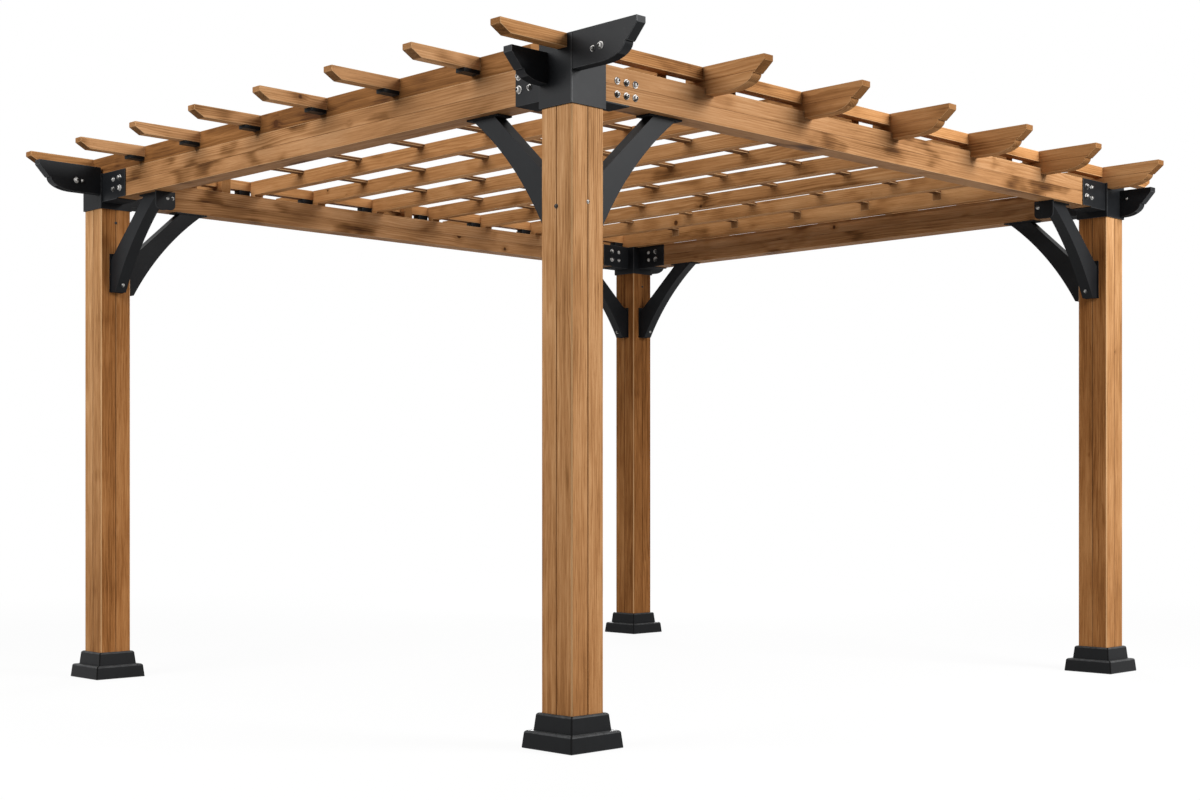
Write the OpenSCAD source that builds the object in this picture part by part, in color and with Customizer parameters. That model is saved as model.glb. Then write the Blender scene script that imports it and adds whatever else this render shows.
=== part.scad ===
// Wooden pergola: four timber posts, steel corner connectors, braces, beams and an open lattice roof.
// Millimetres, +Z up, origin on the ground at the middle of the four posts.
// The front post stands at +X -Y, the left at -X -Y, the right at +X +Y and the back at -X +Y.

/* [Plan] */
// Distance between post centres along X
span_x = 2920; // [2400:10:3600]
// Distance between post centres along Y
span_y = 3280; // [2700:10:4000]
// Height of the underside of the beams above the ground
clear_h = 2052; // [1850:1:2400]

/* [Posts] */
// Width of a square post
post_w = 140; // [110:1:170]
// Depth of the glue line groove down the middle of each post face
groove_d = 2.5; // [1:0.5:5]
// Chamfer on the long edges of a post
post_edge = 4; // [2:0.5:8]

/* [Base trims] */
// Width of the lower tier at the ground
trim_w = 230; // [216:1:270]
// Height of the lower tier
trim_low_h = 56; // [40:1:80]
// Height of the upper tier
trim_top_h = 56; // [40:1:80]
// Width by which the upper tier steps in on each side
trim_step = 22; // [16:1:26]
// Inward slope of each tier over its height
trim_draft = 5; // [2:0.5:8]
// Rounding of the top edge of each tier
trim_round = 9; // [5:0.5:12]
// Wall of the hollow trim
trim_wall = 6; // [4:0.5:8]

/* [Beams] */
// Height of a beam
beam_h = 116; // [104:1:140]
// Thickness of a beam
beam_t = 90; // [76:1:100]
// Distance from the post centre line out to the outer face of a beam
beam_out = 62; // [52:1:66]
// Depth of the glue line along the sides of beams and rafters
line_d = 1.2; // [0.8:0.1:2]

/* [Roof] */
// Number of rafters, of which every third has tails
rafter_count = 10; // [7:3:13]
// Height of a rafter tail
rafter_h = 96; // [90:1:120]
// Height that is left of an inner rafter between the beams
rafter_thin = 63; // [54:1:68]
// Thickness of a rafter
rafter_t = 46; // [36:1:56]
// Depth of the seat that a tail has over a beam
seat_d = 24; // [16:1:28]
// Length by which a rafter runs past the post centre line
rafter_tail = 320; // [250:5:420]
// Number of slats
slat_count = 8; // [6:1:10]
// Height of a slat
slat_h = 44; // [38:1:50]
// Height that is left of an inner slat between the first and the last rafter
slat_thin = 12; // [8:1:24]
// Thickness of a slat
slat_t = 46; // [36:1:54]
// Distance of the end slats outside the post centre line
slat_out = 30; // [24:1:34]
// Length by which a slat runs past the post centre line
slat_tail = 352; // [300:1:440]

/* [Tail shape] */
// Height of the blunt tip of a tail
tip_h = 20; // [14:1:26]
// Length of the slanted cut under the tip
tip_cut_x = 42; // [28:1:52]
// Height of the slanted cut under the tip
tip_cut_z = 34; // [31:1:38]
// Small step between the slanted cut and the round
tip_step = 7; // [4:0.5:9]
// Length of the round between the step and the lower edge
round_l = 105; // [70:1:120]

/* [Corner connectors] */
// Wall of the steel sleeve
sleeve_wall = 5; // [4:0.5:8]
// Length by which the sleeve reaches below the beams
sleeve_drop = 32; // [20:1:60]
// Thickness of a connector tail
tail_t = 40; // [30:1:46]
// Height of a connector tail
tail_h = 116; // [104:1:124]
// Length of the slanted cut under the tip of a connector tail
tail_cut_x = 44; // [30:1:52]
// Height of the slanted cut under the tip of a connector tail
tail_cut_z = 48; // [36:1:58]
// Length of the longer connector tail
long_tail = 280; // [220:5:300]
// Length of the shorter connector tail
short_tail = 150; // [135:5:200]
// Height of the shorter tail on the tall connector
short_tail_h = 100; // [92:1:116]
// Length by which the tails of the low connectors reach below the beams
tail_drop = 22; // [10:1:32]
// Length of a beam plate
plate_l = 190; // [140:5:240]
// Length of a beam plate on the tall connector, and of the plates under the beams
short_plate = 120; // [90:5:150]
// Thickness of a beam plate
plate_t = 5; // [4:0.5:8]

/* [Braces] */
// Width of a brace across its plane
brace_w = 50; // [40:1:54]
// Distance from the post to the inner edge of the brace, along the beam
brace_in_x = 275; // [240:5:310]
// Distance from the post to the outer edge of the brace, along the beam
brace_out_x = 385; // [350:5:430]
// Distance from the beam down to the inner edge of the brace, along the post
brace_in_z = 248; // [210:1:270]
// Distance from the beam down to the outer edge of the brace, along the post
brace_out_z = 390; // [350:1:420]
// Width of the foot of the brace
brace_foot = 42; // [30:1:60]
// Rise of the arched lower edge of the brace
brace_rise = 28; // [15:1:36]
// Thickness of the flange and the foot plate of a brace
flange_t = 6; // [4:0.5:10]
// Width by which flange and foot plate stand out beside the brace
flange_side = 6; // [3:0.5:8]
// Length by which flange and foot plate run on past the brace
flange_over = 24; // [12:1:30]
// Height of the bolt lug under the end of a flange
lug_h = 76; // [60:1:110]
// Corner radius of the bolt lug
lug_r = 22; // [10:1:30]

/* [Fits] */
// Gap between a sleeve or a trim and the post inside it
post_gap = 0.5; // [0.2:0.1:0.9]
// Gap at each side of a slat in its notch
notch_gap = 0.5; // [0.2:0.1:0.9]
// Gap at each side of a beam in a rafter seat
seat_gap = 1; // [0.5:0.5:3]
// Gap between a slat and the connector tail under it
tail_gap = 2; // [1:0.5:6]

/* [Hidden] */
wood = "#9c6a3c";
steel = "#26282b";
eps = 1;
round_steps = 12;

half_x = span_x / 2;
half_y = span_y / 2;
beam_top = clear_h + beam_h;
roof_top = beam_top + rafter_h - seat_d;
slat_floor = roof_top - slat_h;
tail_top = slat_floor - tail_gap;
sleeve_half = post_w / 2 + post_gap + sleeve_wall;
sleeve_low = clear_h - sleeve_drop;
post_h = beam_top - sleeve_wall;
beam_in = beam_t - beam_out;
rafter_reach = half_x + rafter_tail;
slat_reach = half_y + slat_tail;
front_row = half_y + beam_out - rafter_t / 2;
rafter_row = half_y - sleeve_half + rafter_t / 2;
slat_row = half_x + slat_out;
rafter_step = 2 * rafter_row / (rafter_count - 1);
tail_every = 3;
tail_count = (rafter_count - 1) / tail_every;
slat_step = 2 * slat_row / (slat_count - 1);

// Signs of the four corners, outward along X and along Y
FRONT = [1, -1];
LEFT = [-1, -1];
RIGHT = [1, 1];
BACK = [-1, 1];

// Tails of each connector, along X and along Y, each as its length, the level of its top and its height
NO_TAIL = [0, 0, 0];
FRONT_TAILS = [[long_tail, roof_top, tail_h], [short_tail, tail_top, short_tail_h]];
LEFT_TAILS = [NO_TAIL, [long_tail, tail_top, tail_h]];
LOW_TAIL = [short_tail, clear_h - tail_drop + tail_h, tail_h];
RIGHT_TAILS = [LOW_TAIL, NO_TAIL];
BACK_TAILS = [LOW_TAIL, LOW_TAIL];

function slat_x(i) = -slat_row + (i - 1) * slat_step;
// The front rafter is flush with the outer face of the front beam
function rafter_y(i) = i == 1 ? -front_row : -rafter_row + (i - 1) * rafter_step;
function is_inner(k) = k > 1 && k < slat_count;
function arc(c, r, from, to) =
    [for (i = [0 : round_steps]) let (a = from + (to - from) * i / round_steps) c + r * [cos(a), sin(a)]];
function mirrored(points) = [for (i = [len(points) - 1 : -1 : 0]) [-points[i][0], points[i][1]]];

// Quarter oval from the right of its centre round to the bottom
function oval(c, rx, rz) =
    [for (i = [0 : round_steps]) let (a = -90 * i / round_steps) c + [rx * cos(a), rz * sin(a)]];

// Outline of a tail that ends at x = reach, from its top corner down to its lower edge
function ogee(reach, h, cut, run) =
    let (z = -tip_h - cut[1], x = reach - cut[0] - tip_step - run)
    concat([[reach, 0], [reach, -tip_h], [reach - cut[0], z]], oval([x, z], run, h + z));
function slant(reach, h) = [[reach, 0], [reach, -tip_h], [reach - tip_cut_x, -h]];

// Puts a piece that is drawn for an outward corner at the origin on one of the four corners
module at_corner(c) {
    translate([c[0] * half_x, c[1] * half_y, 0])
        mirror([c[0] < 0 ? 1 : 0, 0, 0]) mirror([0, c[1] < 0 ? 1 : 0, 0]) children();
}

// Box between two corners
module block(low, high) {
    translate(low) cube(high - low);
}

// Upright profile in X and Z, of thickness t about the plane y = 0
module upright(points, t) {
    rotate([90, 0, 0]) translate([0, 0, -t / 2]) linear_extrude(t) polygon(points);
}

module post(c) {
    color(wood) at_corner(c) linear_extrude(post_h) difference() {
        square(post_w, center = true);
        for (a = [0 : 90 : 270]) rotate(a) {
            translate([post_w / 2, 0]) rotate(45) square(groove_d * sqrt(2), center = true);
            translate([post_w / 2, post_w / 2]) rotate(45) square(post_edge * sqrt(2), center = true);
        }
    }
}

// Half of a trim's section, from the middle out, grown inwards by inset
function trim_half(inset) =
    let (
        low = trim_w / 2 - inset,
        top = trim_w / 2 - trim_draft - trim_step - inset,
        r = max(trim_round - inset, 1),
        z1 = trim_low_h - inset,
        z2 = trim_low_h + trim_top_h - inset
    )
    concat(
        [[low, inset > 0 ? -eps : 0]],
        arc([low - trim_draft - r, z1 - r], r, 0, 90),
        [[top, z1]],
        arc([top - trim_draft - r, z2 - r], r, 0, 90)
    );

module trim_solid(inset) {
    outline = concat(trim_half(inset), mirrored(trim_half(inset)));
    intersection() {
        upright(outline, 2 * trim_w);
        rotate(90) upright(outline, 2 * trim_w);
    }
}

module trim(c) {
    hole = post_w + 2 * post_gap;
    color(steel) at_corner(c) difference() {
        trim_solid(0);
        trim_solid(trim_wall);
        translate([-hole / 2, -hole / 2, -eps]) cube([hole, hole, trim_low_h + trim_top_h + 2 * eps]);
    }
}

// Glue line along X, cut into a side face at y and z
module glue_line(l, y, z) {
    translate([0, y, z]) rotate([45, 0, 0]) cube([2 * l, line_d * sqrt(2), line_d * sqrt(2)], center = true);
}

// Tail along +X from the sleeve, with its inner side at y = side
module tail_x(tail, side) {
    reach = tail[0];
    h = tail[2];
    root = sleeve_half - sleeve_wall / 2;
    run = min(round_l, 0.6 * reach);
    outline = concat([[root, -h], [root, 0]], ogee(sleeve_half + reach, h, [tail_cut_x, tail_cut_z], run));
    translate([0, side + tail_t / 2, tail[1]]) upright(outline, tail_t);
}

// Plates beside and under the beam that runs along -X from the sleeve
module plates_x(outer, l) {
    low = -sleeve_half - l;
    high = -sleeve_half + sleeve_wall;
    side = outer ? beam_out + plate_t : beam_out;
    if (outer) block([low, beam_out, clear_h], [high, side, beam_top]);
    block([low, -beam_in - plate_t, clear_h], [high, -beam_in, beam_top]);
    block([-sleeve_half - short_plate, -beam_in - plate_t, clear_h - plate_t], [high, side, clear_h]);
}

// The tall kind reaches up to the roof and carries a slat in its slots, and the low kind ends at the beams
module connector(c, tall, tails) {
    top = tall ? roof_top : beam_top;
    l = tall ? short_plate : plate_l;
    inside = sleeve_half - sleeve_wall;
    color(steel) at_corner(c) {
        difference() {
            union() {
                block([-sleeve_half, -sleeve_half, sleeve_low], [sleeve_half, sleeve_half, top]);
                if (tails[0][0] > 0) tail_x(tails[0], sleeve_half - tail_t);
                if (tails[1][0] > 0) mirror([1, -1, 0]) tail_x(tails[1], -sleeve_half);
                plates_x(true, l);
                mirror([1, -1, 0]) plates_x(!tall, l);
            }
            block([-inside, -inside, sleeve_low - eps], [inside, inside, post_h]);
            if (tall) {
                block([-inside, -inside, beam_top], [inside, inside, top + eps]);
                block([slat_out - slat_t / 2 - notch_gap, -sleeve_half - eps, slat_floor],
                    [slat_out + slat_t / 2 + notch_gap, sleeve_half + eps, top + eps]);
            }
        }
    }
}

// Beam along X with its outer face towards +Y, and a glue line halfway up both faces
module beam(l) {
    difference() {
        block([-l, -beam_in, clear_h], [l, beam_out, beam_top]);
        for (y = [-beam_in, beam_out]) glue_line(l + eps, y, clear_h + beam_h / 2);
    }
}

// Beam along X at the front (side -1) or the back (side 1)
module beam_x(side) {
    color(wood) translate([0, side * half_y, 0]) mirror([0, side < 0 ? 1 : 0, 0]) beam(half_x - sleeve_half);
}

// Beam along Y at the left (side -1) or the right (side 1)
module beam_y(side) {
    color(wood) translate([side * half_x, 0, 0]) mirror([side < 0 ? 1 : 0, 0, 0])
        mirror([1, -1, 0]) beam(half_y - sleeve_half);
}

// Arched brace in the plane y = 0, from the post face at x = 0 along +X under the beam at z = 0
module brace_arm(lug) {
    from = [brace_out_x, -flange_t];
    to = [brace_foot, -brace_out_z];
    chord = norm(to - from);
    radius = chord * chord / (8 * brace_rise) + brace_rise / 2;
    out = [-(to - from)[1], (to - from)[0]] / chord;
    centre = (from + to) / 2 + out * (radius - brace_rise);
    w = brace_w + 2 * flange_side;
    end = brace_out_x + flange_over;
    translate([0, brace_w / 2, 0]) rotate([90, 0, 0]) linear_extrude(brace_w) difference() {
        polygon([[flange_t, -brace_in_z], [brace_in_x, -flange_t], from, to, [flange_t, -brace_out_z]]);
        translate(centre) circle(radius, $fn = 180);
    }
    block([brace_in_x - flange_over, -w / 2, -flange_t], [end, w / 2, 0]);
    block([0, -w / 2, -brace_out_z], [flange_t, w / 2, -brace_in_z + flange_over]);
    if (lug) translate([end, 0, 0]) rotate([0, -90, 0]) linear_extrude(flange_t) difference() {
        translate([-lug_h, -beam_t / 2]) square([lug_h, beam_t]);
        for (s = [-1, 1]) translate([-lug_h, s * beam_t / 2]) difference() {
            square(2 * lug_r, center = true);
            translate([lug_r, -s * lug_r]) circle(lug_r, $fn = 48);
        }
    }
}

// Brace from the post at a corner to the beam along X
module brace_x(c, lug) {
    color(steel) at_corner(c) translate([-post_w / 2, 0, clear_h]) mirror([1, 0, 0]) brace_arm(lug);
}

// Brace from the post at a corner to the beam along Y
module brace_y(c, lug) {
    color(steel) at_corner(c) mirror([1, -1, 0])
        translate([-post_w / 2, 0, clear_h]) mirror([1, 0, 0]) brace_arm(lug);
}

// Part from x = low to high of a roof board with two ogee tails, which has a seat over each beam
// Between the beams an end board lies flat along its beam, and the others are thinner
module roof_board(low, high, end) {
    edge = half_x + seat_gap + (end ? sleeve_half : beam_out);
    under = -rafter_h - eps;
    tail = ogee(rafter_reach, rafter_h, [tip_cut_x, tip_cut_z], round_l);
    t = rafter_t / 2 + eps;
    notch = slat_t / 2 + notch_gap;
    clear = half_x - beam_in;
    color(wood) intersection() {
        difference() {
            upright(concat(tail, mirrored(tail)), rafter_t);
            for (k = [1 : slat_count]) translate([slat_x(k), 0, 0])
                block([-notch, -t, end || !is_inner(k) ? -slat_h : -slat_thin], [notch, t, eps]);
            for (e = [-1, 1], s = [-1, 1]) translate([e * rafter_reach, 0, 0])
                glue_line(rafter_tail, s * rafter_t / 2, -rafter_h / 2);
            block([-edge, -t, under], [edge, t, beam_top - roof_top]);
            if (!end) block([-clear, -t, under], [clear, t, -rafter_thin]);
        }
        block([low, -t, under], [high, t, eps]);
    }
}

// Rafters run along X: the first stops at the tall connector, and those without tails stop at the end slats
module rafter(i) {
    far = (i - 1) % tail_every == 0 ? rafter_reach : slat_row - slat_t / 2 - notch_gap;
    high = i == 1 ? half_x - sleeve_half : far;
    translate([0, rafter_y(i), roof_top]) roof_board(-far, high, i == 1 || i == rafter_count);
}

// Tail of its own on the left (side -1) or the right (side 1) beam, halfway between two rafters with tails
module false_tail(side, i) {
    translate([0, -rafter_row + (i - 0.5) * tail_every * rafter_step, roof_top])
        mirror([side < 0 ? 1 : 0, 0, 0]) roof_board(half_x - beam_in, rafter_reach, false);
}

// Slats run along Y, let into the tops of the rafters, and the inner ones are thin between the end rafters
module slat(i) {
    tail = slant(slat_reach, slat_h);
    color(wood) translate([slat_x(i), 0, roof_top]) rotate(90) difference() {
        upright(concat(tail, mirrored(tail)), slat_t);
        if (is_inner(i)) block([rafter_t / 2 - front_row, -slat_t, -slat_h - eps],
            [rafter_row - rafter_t / 2, slat_t, -slat_thin]);
    }
}

post(FRONT);  // front_post
post(LEFT);  // left_post
post(RIGHT);  // right_post
post(BACK);  // back_post
trim(FRONT);  // front_post_trim
trim(LEFT);  // left_post_trim
trim(RIGHT);  // right_post_trim
trim(BACK);  // back_post_trim
connector(FRONT, true, FRONT_TAILS);  // front_connector
connector(LEFT, false, LEFT_TAILS);  // left_connector
connector(RIGHT, false, RIGHT_TAILS);  // right_connector
connector(BACK, false, BACK_TAILS);  // back_connector
beam_x(-1);  // front_beam
beam_x(1);  // back_beam
beam_y(-1);  // left_beam
beam_y(1);  // right_beam
brace_x(FRONT, false);  // front_post_brace_x
brace_y(FRONT, false);  // front_post_brace_y
brace_x(LEFT, true);  // left_post_brace_x
brace_y(LEFT, false);  // left_post_brace_y
brace_x(RIGHT, false);  // right_post_brace_x
brace_y(RIGHT, true);  // right_post_brace_y
brace_x(BACK, false);  // back_post_brace_x
brace_y(BACK, false);  // back_post_brace_y
for (i = [1 : rafter_count]) rafter(i);
for (i = [1 : tail_count]) false_tail(-1, i);
for (i = [1 : tail_count]) false_tail(1, i);
for (i = [1 : slat_count]) slat(i);
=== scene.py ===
"""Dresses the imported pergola: stained timber, powder-coated steel, bolts and a plain studio."""

import math
import random
from collections import namedtuple

import bmesh
import bpy
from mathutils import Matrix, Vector


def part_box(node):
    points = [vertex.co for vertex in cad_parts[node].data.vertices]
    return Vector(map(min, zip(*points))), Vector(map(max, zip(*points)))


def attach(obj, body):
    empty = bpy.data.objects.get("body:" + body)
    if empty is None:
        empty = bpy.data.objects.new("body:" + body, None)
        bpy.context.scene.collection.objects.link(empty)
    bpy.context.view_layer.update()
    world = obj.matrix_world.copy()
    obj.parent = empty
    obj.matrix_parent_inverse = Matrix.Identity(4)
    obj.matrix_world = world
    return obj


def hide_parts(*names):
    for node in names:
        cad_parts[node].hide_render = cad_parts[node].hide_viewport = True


bl_info = {
    "name": "Wooden Pergola",
    "version": (1, 0, 0),
    "blender": (4, 5, 0),
    "location": "View3D > Sidebar > Pergola",
    "description": "Timber, steel and bolts of a wooden pergola on its CAD frame",
    "category": "Object",
}

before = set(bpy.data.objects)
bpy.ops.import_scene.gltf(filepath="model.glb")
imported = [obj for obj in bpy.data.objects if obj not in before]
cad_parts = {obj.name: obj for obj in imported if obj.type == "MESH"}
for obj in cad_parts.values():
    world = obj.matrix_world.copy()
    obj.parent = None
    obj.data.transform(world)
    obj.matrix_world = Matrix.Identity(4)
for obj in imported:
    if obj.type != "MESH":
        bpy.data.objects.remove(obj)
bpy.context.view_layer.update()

# Outward signs of the four corners along X and Y
CORNERS = {"front": (1, -1), "left": (-1, -1), "right": (1, 1), "back": (-1, 1)}
TALL_CORNER = "front"
POSTS = [f"{corner}_post" for corner in CORNERS]
TRIMS = [f"{corner}_post_trim" for corner in CORNERS]
CONNECTORS = [f"{corner}_connector" for corner in CORNERS]
BRACES = [f"{corner}_post_brace_{axis}" for corner in CORNERS for axis in "xy"]
BEAMS_X = ("front_beam", "back_beam")
BEAMS_Y = ("left_beam", "right_beam")
RAFTERS = [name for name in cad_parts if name.startswith("rafter_")]
RAFTERS.sort(key=lambda name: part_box(name)[0].y)
RAFTER_TAILS = sorted(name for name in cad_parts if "_rafter_tail_" in name)
SLATS = sorted(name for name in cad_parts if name.startswith("slat_"))

# Distance at which points are merged, and the angles of a flat and of a creased edge
WELD = 1e-5
FLAT_ANGLE = math.radians(0.6)
CREASE_ANGLE = math.radians(40)
BOLT_CREASE = math.radians(38)

# Angles above which outward edges are rounded, in degrees, and the faces across such an edge
POST_BEND = 60
BOARD_BEND = 50
CONNECTOR_BEND = 40
CURVED_BEND = 25
EDGE_FACES = 2

# Distances from the middle of a post to its faces, to its sleeve and to the side of a short tail
POST_HALF = 0.070
SLEEVE = 0.0755
TAIL_SIDE = 0.0355

# Depth of the glue line below the top of a beam and of a rafter
BEAM_SEAM = 0.058
RAFTER_SEAM = 0.048

# Values of the edge attribute: 1 on a rounded edge, painted paler as wear and as a painted highlight, and
# below 0 on a glue line
WORN_AND_HIGHLIT_EDGE = 1.0
POST_GLUE = -0.75
BOARD_GLUE = -0.45

# Drop of the tone where the roof keeps light off the slats, and the slats keep it off the front rafter
SLAT_PAINTED_SHADE = 8.0
FRONT_PAINTED_SHADE = 4.0

# Share of the tint of painted shade on the inner faces of the posts, and of a darker tint at the foot of
# the outer ones, growing toward the bottom
INNER_PAINTED_SHADE = 0.95
FOOT_TINT = 0.65

# Tint of the stain, strength of the fine grain and strength of the smudges on each kind of board
Stain = namedtuple("Stain", "warmth fine smudged")
POST_STAIN = Stain((1.10, 1.17, 1.30), 1.0, 0.06)
BEAM_STAIN = Stain((0.92, 0.95, 1.05), 0.55, 0.60)
RAFTER_STAIN = Stain((1.00, 0.97, 0.94), 0.6, 0.32)
# The middle slats are tinted paler than the end slats, as painted light on their tails
LIT_SLAT_STAIN = Stain((1.25, 1.34, 1.56), 0.6, 0.46)
END_SLAT_STAIN = Stain((1.10, 1.08, 1.06), 0.6, 0.32)

# Seed of the first board of each kind; the next node takes the next one
POST_SEED = 100
BEAM_SEED = 200
RAFTER_SEED = 300
SLAT_SEED = 400
END_SLAT_SEED = 450

# Noise layers of the timber: detail, roughness, and waves per metre along and across the board
GRAIN = {
    "sway": (2.0, 0.5, 1.3, 5.0),
    "drift": (2.0, 0.5, 1.6, 42.0),
    "shake": (2.0, 0.5, 11.0, 90.0),
    "streak": (3.0, 0.55, 1.8, 48.0),
    "fibre": (3.0, 0.65, 7.0, 210.0),
    "fleck": (2.0, 0.6, 22.0, 420.0),
    # Broad paler patches: partly random tone, partly a painted sheen
    "broad_tone_and_sheen": (2.0, 0.5, 2.2, 9.0),
    "patch": (1.0, 0.5, 1.2, 9.0),
    "smudge": (2.0, 0.45, 4.5, 10.0),
    "speck": (2.0, 0.6, 240.0, 240.0),
}


def middle_of(node):
    """Middle of a CAD node's box."""
    low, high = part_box(node)
    return (low + high) / 2


# Node trees


class Value:
    """One socket of a node tree. Arithmetic on it adds Math nodes."""

    def __init__(self, tree, socket):
        self.tree = tree
        self.socket = socket

    def math(self, operation, *others):
        sockets = dict(enumerate((self, *others)))
        return self.tree.add("ShaderNodeMath", {"operation": operation}, sockets)

    def flipped(self, operation, other):
        return self.tree.add("ShaderNodeMath", {"operation": operation}, {0: other, 1: self})

    def __add__(self, other):
        return self.math("ADD", other)

    __radd__ = __add__

    def __sub__(self, other):
        return self.math("SUBTRACT", other)

    def __rsub__(self, other):
        return self.flipped("SUBTRACT", other)

    def __mul__(self, other):
        return self.math("MULTIPLY", other)

    __rmul__ = __mul__

    def __truediv__(self, other):
        return self.math("DIVIDE", other)

    def __rtruediv__(self, other):
        return self.flipped("DIVIDE", other)

    def __pow__(self, other):
        return self.math("POWER", other)

    def clamped(self):
        return self.math("MAXIMUM", 0.0).math("MINIMUM", 1.0)


class Tree:
    """A shader or geometry node tree, built one node at a time."""

    def __init__(self, node_tree):
        self.nodes = node_tree.nodes
        self.links = node_tree.links

    def add(self, kind, settings=None, sockets=None, out=0):
        """Adds a node, with its settings first, and gives one of its outputs."""
        node = self.nodes.new(kind)
        for key, value in (settings or {}).items():
            if key == "stops":
                self.set_stops(node.color_ramp.elements, value)
            elif key == "points":
                self.set_points(node.mapping, value)
            else:
                setattr(node, key, value)
        for key, value in (sockets or {}).items():
            if isinstance(value, Value):
                self.links.new(value.socket, node.inputs[key])
            else:
                node.inputs[key].default_value = value
        return Value(self, node.outputs[out]) if node.outputs else None

    @staticmethod
    def set_stops(elements, stops):
        for element, (place, colour) in zip((elements[0], elements[-1]), (stops[0], stops[-1])):
            element.position = place
            element.color = (*colour, 1)
        for place, colour in stops[1:-1]:
            elements.new(place).color = (*colour, 1)

    @staticmethod
    def set_points(mapping, points):
        curve = mapping.curves[0]
        curve.points[0].location = points[0]
        curve.points[1].location = points[-1]
        for x, y in points[1:-1]:
            curve.points.new(x, y)
        for point in curve.points:
            point.handle_type = "VECTOR"
        mapping.update()

    def noise(self, vector, scale, detail=2.0, roughness=0.5, stretch=None):
        """Noise about zero, from about -0.5 to 0.5, stretched along the axes of its vector."""
        if stretch:
            vector = self.add("ShaderNodeVectorMath", {"operation": "MULTIPLY"}, {0: vector, 1: stretch})
        return self.add(
            "ShaderNodeTexNoise",
            {"noise_dimensions": "3D"},
            {"Vector": vector, "Scale": scale, "Detail": detail, "Roughness": roughness},
        ) - 0.5

    def blend(self, amount, first, second, mode="MIX"):
        """Mix of two colours."""
        return self.add(
            "ShaderNodeMix",
            {"data_type": "RGBA", "blend_type": mode},
            {0: amount, 6: first, 7: second},
            out=2,
        )

    def attribute(self, name, out="Fac"):
        return self.add("ShaderNodeAttribute", {"attribute_name": name}, out=out)

    def step(self, value, low, high):
        """Smooth step from 0 at low to 1 at high."""
        return self.add(
            "ShaderNodeMapRange",
            {"interpolation_type": "SMOOTHSTEP"},
            {"Value": value, "From Min": low, "From Max": high},
        )

    def band(self, value, rise, top, fall, end):
        """Smooth band: 0 up to rise, 1 from top to fall, and 0 again past end."""
        return self.step(value, rise, top) * (1.0 - self.step(value, fall, end))


def new_material(name):
    """Empty material and its node tree."""
    material = bpy.data.materials.new(name)
    material.use_nodes = True
    material.node_tree.nodes.clear()
    return material, Tree(material.node_tree)


def close_surface(tree, sockets, height, strength, distance):
    """Ends a material in a principled surface with a bump."""
    normal = tree.add(
        "ShaderNodeBump", {}, {"Height": height, "Strength": strength, "Distance": distance}
    )
    surface = tree.add("ShaderNodeBsdfPrincipled", {}, {**sockets, "Normal": normal})
    tree.add("ShaderNodeOutputMaterial", {}, {"Surface": surface})


# Finishes


class PergolaTimber(bpy.types.PropertyGroup):
    """Stain and grain of the timber."""

    deep: bpy.props.FloatVectorProperty(
        name="Deep grain", description="Colour of knots and the darkest grain",
        subtype="COLOR", default=(0.060, 0.022, 0.007), min=0, max=1,
    )
    dark: bpy.props.FloatVectorProperty(
        name="Dark grain", description="Colour of the darker streaks",
        subtype="COLOR", default=(0.200, 0.087, 0.027), min=0, max=1,
    )
    middle: bpy.props.FloatVectorProperty(
        name="Stain", description="Main colour of the stained timber",
        subtype="COLOR", default=(0.390, 0.188, 0.070), min=0, max=1,
    )
    pale: bpy.props.FloatVectorProperty(
        name="Pale grain", description="Colour of the paler streaks",
        subtype="COLOR", default=(0.610, 0.345, 0.158), min=0, max=1,
    )
    # Painted shade: tint that darkens the inner faces of the posts under the roof; on the outer faces it
    # darkens them toward the foot
    heart: bpy.props.FloatVectorProperty(
        name="Heart tint", description="Tint of the deeper stain on the inner faces of the posts",
        subtype="COLOR", default=(0.86, 0.68, 0.48), min=0, max=1,
    )
    # Paler colour of rounded edges and chamfers: partly wear, partly a painted highlight
    edge_highlight_and_wear: bpy.props.FloatVectorProperty(
        name="Worn edge", description="Colour of the rubbed edges",
        subtype="COLOR", default=(0.620, 0.385, 0.195), min=0, max=1,
    )
    ring_gap: bpy.props.FloatProperty(
        name="Ring gap", description="Distance between growth rings",
        subtype="DISTANCE", unit="LENGTH", default=0.0075, min=0.002, max=0.03,
    )
    edge: bpy.props.FloatProperty(
        name="Eased edge", description="Width of the eased edges of the boards",
        subtype="DISTANCE", unit="LENGTH", default=0.0025, min=0.0005, max=0.006,
    )


class PergolaSteel(bpy.types.PropertyGroup):
    """Powder coat of the steel and the trims, and the plating of the bolts."""

    coat: bpy.props.FloatVectorProperty(
        name="Powder coat", description="Colour of the coated connectors and braces",
        subtype="COLOR", default=(0.0056, 0.0063, 0.0074), min=0, max=1,
    )
    trim: bpy.props.FloatVectorProperty(
        name="Base trim", description="Colour of the moulded base trims",
        subtype="COLOR", default=(0.0048, 0.0053, 0.0060), min=0, max=1,
    )
    plating: bpy.props.FloatVectorProperty(
        name="Bolt plating", description="Colour of the plated bolt heads",
        subtype="COLOR", default=(0.46, 0.45, 0.435), min=0, max=1,
    )
    edge: bpy.props.FloatProperty(
        name="Steel edge", description="Width of the softened steel edges",
        subtype="DISTANCE", unit="LENGTH", default=0.0016, min=0.0003, max=0.004,
    )
    washer: bpy.props.FloatProperty(
        name="Washer radius", description="Radius of the washer under a beam bolt",
        subtype="DISTANCE", unit="LENGTH", default=0.0125, min=0.005, max=0.02,
    )
    head: bpy.props.FloatProperty(
        name="Bolt height", description="Height of a beam bolt with its washer",
        subtype="DISTANCE", unit="LENGTH", default=0.0100, min=0.003, max=0.02,
    )


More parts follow.
